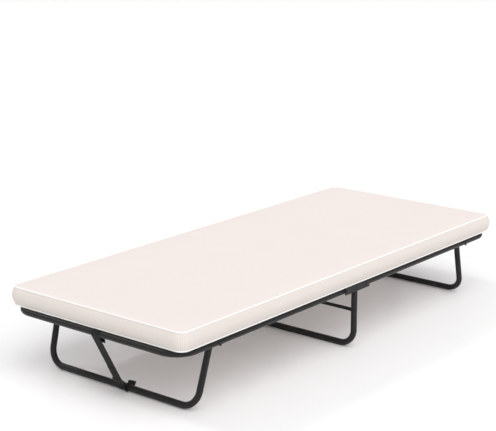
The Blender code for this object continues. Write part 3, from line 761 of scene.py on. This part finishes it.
def make_wire_mesh(end_name, end):
    """Long wires hooked under the rods of each row, and the springs that stretch them."""
    rows = [PIVOT_X + row * ROW_PITCH for row in range(ROW_COUNT)]
    last = rows[-1]
    apex_x = END_RAIL_X - HOOK_APEX_INSET
    hook_x = END_RAIL_X - RAIL_RADIUS
    long_wires, rods, springs = [], [], []
    for wire in range(WIRE_COUNT):
        y = -MESH_Y + wire * WIRE_PITCH
        line = []
        for x in rows:
            for step, drop in KINK_SHAPE:
                if rows[0] - 0.002 <= x + step <= last + 0.002:
                    line.append((end * (x + step), y, RAIL_Z - KINK_DEPTH * drop))
        long_wires.append(line)
    for row, x in enumerate(rows):
        loops = []
        for side in (-1, 1):
            centre = Vector((end * x, side * (MESH_Y + 0.006), RAIL_Z))
            turns = [centre + Vector((0.0042 * math.sin(a), -side * 0.0042 * math.cos(a), 0))
                     for a in (math.pi * k / 5 for k in range(10))]
            loops.append(turns if side > 0 else turns[::-1])
        rods.append([*loops[0], *loops[1]])
        for side in (-1, 1):
            stop = RAIL_INNER_Y - 0.0098 if row == 0 else RAIL_INNER_Y
            coil_start = stop - MESH_Y - COIL_TO_RAIL - COIL_LENGTH - 0.006
            inner = (end * x, side * (MESH_Y + 0.010), RAIL_Z)
            outer = (end * x, side * stop, RAIL_Z)
            springs.append(coil_spring(inner, outer, coil_start - 0.004))
    for hook in range(HOOK_COUNT):
        hook_y = HOOK_PITCH * (hook - (HOOK_COUNT - 1) / 2)
        if hook in (0, HOOK_COUNT - 1):
            inner = Vector((end * (last + 0.003), math.copysign(MESH_Y, hook_y), RAIL_Z))
        else:
            left, right = (-MESH_Y + (2 * hook - k) * WIRE_PITCH for k in (1, 0))
            inner = Vector((end * apex_x, (left + right) / 2, RAIL_Z))
            corner = inner + Vector((end * 0.004, 0, 0))
            long_wires.append([(end * last, left, RAIL_Z - KINK_DEPTH), corner,
                               (end * last, right, RAIL_Z - KINK_DEPTH)])
        outer = Vector((end * hook_x, hook_y, RAIL_Z))
        coil_start = (outer - inner).length - COIL_TO_RAIL - COIL_LENGTH
        springs.append(coil_spring(inner, outer, coil_start))
    body = end_name + "_half"
    wires = bars(end_name + "_long_wires", long_wires, WIRE_RADIUS)
    finished(wires, "spring_wire", body, [end_name + "_mesh"], angle=60)
    finished(bars(end_name + "_row_rods", rods, ROD_RADIUS), "spring_wire", body, angle=60)
    coils = bars(end_name + "_springs", springs, COIL_WIRE, sides=6)
    finished(coils, "spring_wire", body, angle=60)


# Webbing -------------------------------------------------------------------------------------


def arc(centre, radius, start, turn, y, steps=18):
    """Points round a centre in the XZ plane, from the start angle through the turn."""
    points = []
    for k in range(steps + 1):
        angle = start + turn * k / steps
        points.append(Vector((centre[0] + radius * math.cos(angle), y,
                              centre[1] + radius * math.sin(angle))))
    return points


def make_leg_strap(end_name, end):
    """Webbing from a loop round the end rail down to the crossbar, doubled back on itself there,
    with a slanting turn and a stitched end over the crossbar."""
    strap_y = end * STRAP_OFFSET
    rail = (end * END_RAIL_X, RAIL_Z)
    crossbar = (end * CROSSBAR_X, CROSSBAR_Z)
    fall = Vector((crossbar[0] - rail[0], crossbar[1] - rail[1]))
    outward = math.atan2(fall.y, fall.x) + end * math.pi / 2
    inward = 0.0 if end < 0 else math.pi
    over_turn = (outward - inward) % (-end * 2 * math.pi)
    over = arc(rail, RAIL_RADIUS + STRAP_SEAT, inward, over_turn, strap_y)
    under = arc(crossbar, LEG_RADIUS + STRAP_SEAT, outward, -end * 1.35 * math.pi, strap_y, 24)
    tail = [over[0] - Vector((end * 0.004 * share, 0, STRAP_TAIL * share)) for share in (1, 0.66, 0.33)]
    run = [over[-1].lerp(under[0], share / 12) for share in range(1, 12)]
    main = ribbon("main", [*tail, *over, *run, *under], Vector((0, 1, 0)), STRAP_WIDTH, STRAP_THICKNESS)
    side = Vector((math.cos(outward), 0, math.sin(outward)))
    back = [point + side * (STRAP_THICKNESS + 0.0002) for point in run[6:]]
    lap = ribbon("lap", back, Vector((0, 1, 0)), STRAP_WIDTH * 0.96, STRAP_THICKNESS)
    slant = arc(crossbar, LEG_RADIUS + 3 * STRAP_SEAT + 0.0010, math.pi / 2 + end * math.pi / 6,
                -end * 0.90 * math.pi, strap_y, 20)
    for k, point in enumerate(slant):
        point.y -= end * (0.014 - 0.030 * k / len(slant))
    wrapping = ribbon("wrapping", slant, Vector((-0.25, end, 0.1 * end)).normalized(),
                      STRAP_WIDTH * 0.72, STRAP_THICKNESS * 2.0)
    edge = Vector((crossbar[0], strap_y + end * (STRAP_WIDTH / 2 - 0.004), crossbar[1] + 0.0155))
    tip = [edge + Vector((0, end * 0.034 * k / 6, 0.003 + 0.003 * math.sin(k / 3))) for k in range(7)]
    tab = ribbon("tab", tip, Vector((-0.55 * end, 0, 0.83)).normalized(), 0.016, 0.0036)
    strap = join(end_name + "_check_webbing", [main, lap, wrapping, tab])
    body = end_name + "_check_strap"
    finished(strap, "webbing", body, [end_name + "_leg_strap"])
    low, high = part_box(end_name + "_strap_keeper")
    middle = (low + high) / 2
    lean = math.atan2(fall.x, fall.y) + math.pi
    along = Vector((math.sin(lean), 0, math.cos(lean)))
    centre = middle + side * 0.0014
    slats = []
    for share in (-1, 0, 1):
        slats.append(box("bar", (KEEPER_BAR, STRAP_WIDTH + 0.006, 0.0028),
                         centre + along * share * 0.0075, (0, lean, 0), 0.0009))
    for edge_side in (-1, 1):
        slats.append(box("rim", (KEEPER_BAR, 0.0032, 0.0180),
                         centre + Vector((0, edge_side * (STRAP_WIDTH / 2 + 0.0022), 0)),
                         (0, lean, 0), 0.0009))
    keeper = join(end_name + "_strap_adjuster", slats)
    finished(keeper, "black_plastic", body, [end_name + "_strap_keeper"])


def make_closure_straps():
    """The two narrow straps kept round the head end rail."""
    for side_name, _ in SIDES:
        node = "closure_strap_" + side_name
        low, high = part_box(node)
        y = (low.y + high.y) / 2
        loop = arc((END_RAIL_X, RAIL_Z), RAIL_RADIUS + STRAP_SEAT, math.pi, -1.6 * math.pi, y, 28)
        drop = loop[0].z - low.z
        tail = [loop[0] - Vector((0, 0, drop * share)) for share in (1, 0.66, 0.33)]
        strap = ribbon("strap", [*tail, *loop], Vector((0, 1, 0)), high.y - low.y, STRAP_THICKNESS)
        finished(join("closure_webbing_" + side_name, [strap]), "webbing", "head_half", [node])


# Mattress ------------------------------------------------------------------------------------


def cuts(reach, pitch):
    """Where to cut a panel along one axis: evenly, and closer near its edges."""
    count = round(2 * reach / pitch)
    inner = [-reach + 2 * reach * k / count for k in range(1, count)]
    return sorted([0.0, *inner, -reach + pitch * 0.4, reach - pitch * 0.4])


def pressed_cover():
    """The cover before it is filled: a flat rounded block whose corners are the piped seams."""
    bpy.ops.mesh.primitive_cube_add(size=1, location=(0, 0, (SEAM_TOP + SEAM_BOTTOM) / 2))
    cover = bpy.context.object
    cover.name = "cover"
    cover.scale = (2 * SEAM_X, 2 * SEAM_Y, SEAM_TOP - SEAM_BOTTOM)
    settle(cover)
    bpy.ops.object.mode_set(mode="EDIT")
    bpy.ops.mesh.select_all(action="DESELECT")
    bpy.ops.object.mode_set(mode="OBJECT")
    for edge in cover.data.edges:
        a, b = (cover.data.vertices[k].co for k in edge.vertices)
        edge.select = abs(a.z - b.z) > 0.01
    bpy.ops.object.mode_set(mode="EDIT")
    bpy.ops.mesh.select_mode(type="EDGE")
    bpy.ops.mesh.bevel(offset=CORNER_RADIUS, segments=8, affect="EDGES")
    planes = [((x, 0, 0), (1, 0, 0)) for x in cuts(SEAM_X, 0.016)]
    planes += [((0, y, 0), (0, 1, 0)) for y in cuts(SEAM_Y, 0.016)]
    planes += [((0, 0, SEAM_BOTTOM + (SEAM_TOP - SEAM_BOTTOM) * k / 7), (0, 0, 1)) for k in range(1, 7)]
    for place, normal in planes:
        bpy.ops.mesh.select_all(action="SELECT")
        bpy.ops.mesh.bisect(plane_co=place, plane_no=normal, threshold=0.00002)
    bpy.ops.object.mode_set(mode="OBJECT")
    return weld(cover, 0.0003)


def on_seam(point):
    """True along the two piped seams."""
    return min(abs(point.z - SEAM_TOP), abs(point.z - SEAM_BOTTOM)) < 0.0002 and on_border(point)


def on_border(point):
    """True on the border's own surface, and False on the panels inside it."""
    inside_x = SEAM_X - abs(point.x)
    inside_y = SEAM_Y - abs(point.y)
    if inside_x < CORNER_RADIUS and inside_y < CORNER_RADIUS:
        corner = Vector((CORNER_RADIUS - inside_x, CORNER_RADIUS - inside_y))
        return corner.length > CORNER_RADIUS - 0.0008
    return min(inside_x, inside_y) < 0.0008


def fill_cover(cover):
    """Blow the cover up between its seams as cloth, then hold each point to what foam allows."""
    rest = [point.co.copy() for point in cover.data.vertices]
    seams = cover.vertex_groups.new(name="seams")
    seams.add([k for k, point in enumerate(rest) if on_seam(point)], 1.0, "REPLACE")
    cloth = cover.modifiers.new("Cloth", "CLOTH")
    settings = cloth.settings
    settings.quality = 4
    settings.vertex_group_mass = "seams"
    settings.use_pressure = True
    settings.uniform_pressure_force = 4.0
    settings.tension_stiffness = 30.0
    settings.compression_stiffness = 30.0
    settings.bending_stiffness = 2.0
    settings.effector_weights.gravity = 0.0
    cloth.point_cache.frame_start = 1
    cloth.point_cache.frame_end = 20
    for step in range(1, 21):
        bpy.context.scene.frame_set(step)
    apply_all(cover)
    bpy.context.scene.frame_set(1)
    middle = (SEAM_TOP + SEAM_BOTTOM) / 2
    for point, start in zip(cover.data.vertices, rest):
        if on_seam(start):
            point.co = start
            continue
        moved = point.co - start
        if on_border(start):
            outward = Vector((start.x - math.copysign(min(abs(start.x), SEAM_X - CORNER_RADIUS), start.x),
                              start.y - math.copysign(min(abs(start.y), SEAM_Y - CORNER_RADIUS), start.y), 0))
            outward.normalize()
            share = (start.z - middle) / (SEAM_TOP - middle)
            push = max(moved.dot(outward), 0.0)
            reach = BORDER_BULGE * (1 - share ** 2)
            reach *= 0.8 + 0.2 * math.tanh(3 * push / BORDER_BULGE)
            point.co = start + outward * reach
        else:
            up = 1 if start.z > middle else -1
            edge = min(SEAM_X - abs(start.x), SEAM_Y - abs(start.y))
            crown = PANEL_CROWN * (1 - math.exp(-edge / CROWN_RUN))
            push = max(moved.z * up, 0.0)
            crown = 0.5 * crown + 0.5 * PANEL_CROWN * math.tanh(push / PANEL_CROWN)
            ripple = PANEL_RIPPLE * noise.noise(Vector((start.x * 5, start.y * 7, up)))
            point.co = start + Vector((0, 0, up * (crown + (ripple if up > 0 else 0))))
    return cover


def border_run(point):
    """How far round the border a point lies from the middle of the nearest long side, in metres."""
    flat_x, flat_y = SEAM_X - CORNER_RADIUS, SEAM_Y - CORNER_RADIUS
    quarter = CORNER_RADIUS * math.pi / 2
    beyond_x, beyond_y = abs(point.x) - flat_x, abs(point.y) - flat_y
    if beyond_x > 0 and beyond_y > 0:
        return flat_x + CORNER_RADIUS * math.atan2(beyond_x, beyond_y)
    if beyond_y > beyond_x:
        return abs(point.x)
    return flat_x + quarter + flat_y - abs(point.y)


def finish_cover(cover):
    """Give the filled cover its finer surface, its two cloths and the border's own coordinate."""
    smooth = cover.modifiers.new("Smooth", "SUBSURF")
    smooth.levels = 1
    smooth.render_levels = 1
    apply_all(cover)
    cover.data.materials.clear()
    cover.data.materials.append(PANEL)
    cover.data.materials.append(BORDER)
    for face in cover.data.polygons:
        face.material_index = int(SEAM_BOTTOM + 0.0012 < face.center.z < SEAM_TOP - 0.0012)
    runs = cover.data.attributes.new("border_run", "FLOAT", "POINT")
    for point, run in zip(cover.data.vertices, runs.data):
        run.value = border_run(point.co)
    return cover


def half_of(piece, name, end):
    """A copy of the part of a piece on one side of the bed's middle, closed at the cut."""
    half = piece.copy()
    half.data = piece.data.copy()
    half.name = name
    bpy.context.scene.collection.objects.link(half)
    pick(half)
    bpy.ops.object.mode_set(mode="EDIT")
    bpy.ops.mesh.select_all(action="SELECT")
    bpy.ops.mesh.bisect(plane_co=(0, 0, 0), plane_no=(end, 0, 0), use_fill=True, clear_inner=True)
    bpy.ops.object.mode_set(mode="OBJECT")
    return half


def bend_with(piece):
    """Bake a piece's world place into its mesh."""
    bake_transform(piece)


def seam_outline(level):
    """The closed line of a seam at a height, with a point about every 12 mm."""
    points = []
    for quarter, (sx, sy) in enumerate(((1, 1), (-1, 1), (-1, -1), (1, -1))):
        for k in range(11):
            angle = math.pi / 2 * (quarter + k / 10)
            points.append((sx * (SEAM_X - CORNER_RADIUS) + CORNER_RADIUS * math.cos(angle),
                           sy * (SEAM_Y - CORNER_RADIUS) + CORNER_RADIUS * math.sin(angle), level))
    dense = []
    for a, b in zip(points, points[1:] + points[:1]):
        a, b = Vector(a), Vector(b)
        count = max(1, round((b - a).length / 0.012))
        dense += [a.lerp(b, k / count) for k in range(count)]
    return dense


def make_mattress():
    """The filled cover and its two pipings, each in two halves that meet at the bed's middle."""
    cover = finish_cover(fill_cover(pressed_cover()))
    pipings = {}
    for level, z in (("lower", SEAM_BOTTOM), ("upper", SEAM_TOP)):
        outline = seam_outline(z)
        pipings[level] = bars(level + "_piping", [outline], PIPING_RADIUS, sides=12, cyclic=True)
    for end_name, end in ENDS:
        half = half_of(cover, f"mattress_{end_name}_half", end)
        pick(half)
        bpy.ops.object.shade_smooth_by_angle(angle=math.radians(50))
        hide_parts("mattress_cover", "mattress_foam")
        bend_with(half)
        for level, node in (("lower", "mattress_piping_bottom"), ("upper", "mattress_piping_top")):
            cord = half_of(pipings[level], f"{level}_piping_{end_name}", end)
            finished(cord, "piping_cloth", None, [node])
            bend_with(cord)
    for spare in (cover, *pipings.values()):
        bpy.data.objects.remove(spare)


def make_zip():
    """The zip in the head end's border: two tapes, a coil of teeth and its slider with a pull."""
    low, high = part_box("mattress_zip")
    reach, middle = high.y, (low.z + high.z) / 2
    face = SEAM_X + BORDER_BULGE
    tapes = [box("tape", (0.0012, 2 * reach, 0.0085), (face, 0, middle + up * 0.0058), (0, 0, 0), 0.0004)
             for up in (-1, 1)]
    tape = join("zip_tape", tapes)
    finished(tape, "cover_cloth", "head_half", material=PANEL)
    tooth = box("tooth", (0.0016, 0.0011, 0.0046), (face + 0.0003, -reach + 0.002, middle), (0, 0, 0), 0.0003)
    row = tooth.modifiers.new("Row", "ARRAY")
    row.use_relative_offset = False
    row.use_constant_offset = True
    row.constant_offset_displace = (0, 0.0019, 0)
    row.count = int((2 * reach - 0.004) / 0.0019)
    finished(join("zip_teeth", [apply_all(tooth)]), "zip_coil", "head_half", ["mattress_zip"])
    low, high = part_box("mattress_zip_slider")
    y = (low.y + high.y) / 2
    shell = box("shell", (0.0034, 0.0095, 0.0080), (face + 0.0012, y, middle), (0, 0, 0), 0.0010)
    bridge = box("bridge", (0.0016, 0.0060, 0.0022), (face + 0.0034, y, middle), (0, 0, 0), 0.0006)
    pull = box("pull", (0.0011, 0.0055, 0.0190), (face + 0.0040, y, middle - 0.0098), (0, 0.06, 0), 0.0005)
    slider = join("zip_slider_and_pull", [shell, bridge, pull])
    finished(slider, "zip_slider", "head_half", ["mattress_zip_slider"])


# Carried-over nodes --------------------------------------------------------------------------


def paint_frame_nodes():
    """Give the frame's own nodes their finishes, for those that stay visible."""
    slots = {row["node"]: row["material_slot"] for row in frame["record"]["subparts"]}
    for name, node in NODES.items():
        finish = FINISHES.get(slots[name], PANEL)
        for place in range(len(node.material_slots)):
            node.material_slots[place].material = finish
        if not node.material_slots:
            node.data.materials.append(finish)


# Stage ---------------------------------------------------------------------------------------


def make_floor():
    """A plain pale floor, just under the feet."""
    bpy.ops.mesh.primitive_plane_add(size=90, location=(10, 10, -0.0002))
    floor = bpy.context.object
    floor.name = "studio_floor"
    finish = Finish("pale_floor")
    finish.set("Base Color", (0.95, 0.95, 0.95, 1))
    finish.set("Roughness", 0.42)
    finish.set("Specular IOR Level", 0.3)
    floor.data.materials.append(finish.material)


def soft_sun(name, towards, spread, strength):
    """A broad, even light from one side: its rays leave from the given direction."""
    bpy.ops.object.light_add(type="SUN", location=(0, 0, 3))
    light = bpy.context.object
    light.name = name
    light.data.angle = math.radians(spread)
    light.data.energy = strength
    light.rotation_euler = Vector(towards).to_track_quat("Z", "Y").to_euler()


def make_studio():
    """An even white surround, a broad key light, and a narrow one that edges the dark tubes."""
    world = bpy.data.worlds.new("studio")
    world.use_nodes = True
    background = world.node_tree.nodes["Background"]
    background.inputs["Color"].default_value = (1.0, 1.0, 1.0, 1)
    background.inputs["Strength"].default_value = 0.60
    bpy.context.scene.world = world
    soft_sun("key", (-0.28, -0.56, 0.78), 66, 1.95)
    soft_sun("rim", (-0.21, 0.68, 0.71), 8, 0.42)
    bpy.context.scene.view_settings.view_transform = "Standard"


def make_camera():
    """A long lens from beyond the foot end, on the near side."""
    bpy.ops.object.camera_add(location=(-4.0187, -3.1504, 1.7672))
    camera = bpy.context.object
    camera.rotation_euler = (math.radians(75.39), 0, math.radians(-50.84))
    camera.data.lens = 102.55
    camera.data.sensor_width = 36.0
    camera.data.shift_x = 0.0033
    camera.data.clip_end = 200
    bpy.context.scene.camera = camera


# The bed -------------------------------------------------------------------------------------

deselect()
make_camera()
make_studio()
make_floor()
paint_frame_nodes()
make_centre_leg()
for end_name, end in ENDS:
    make_frame_tubes(end_name, end)
    make_wire_mesh(end_name, end)
    make_leg_strap(end_name, end)
make_fold_pivots()
make_rivets()
make_leg_pivots()
make_rail_plugs()
make_closure_straps()
make_mattress()
make_zip()
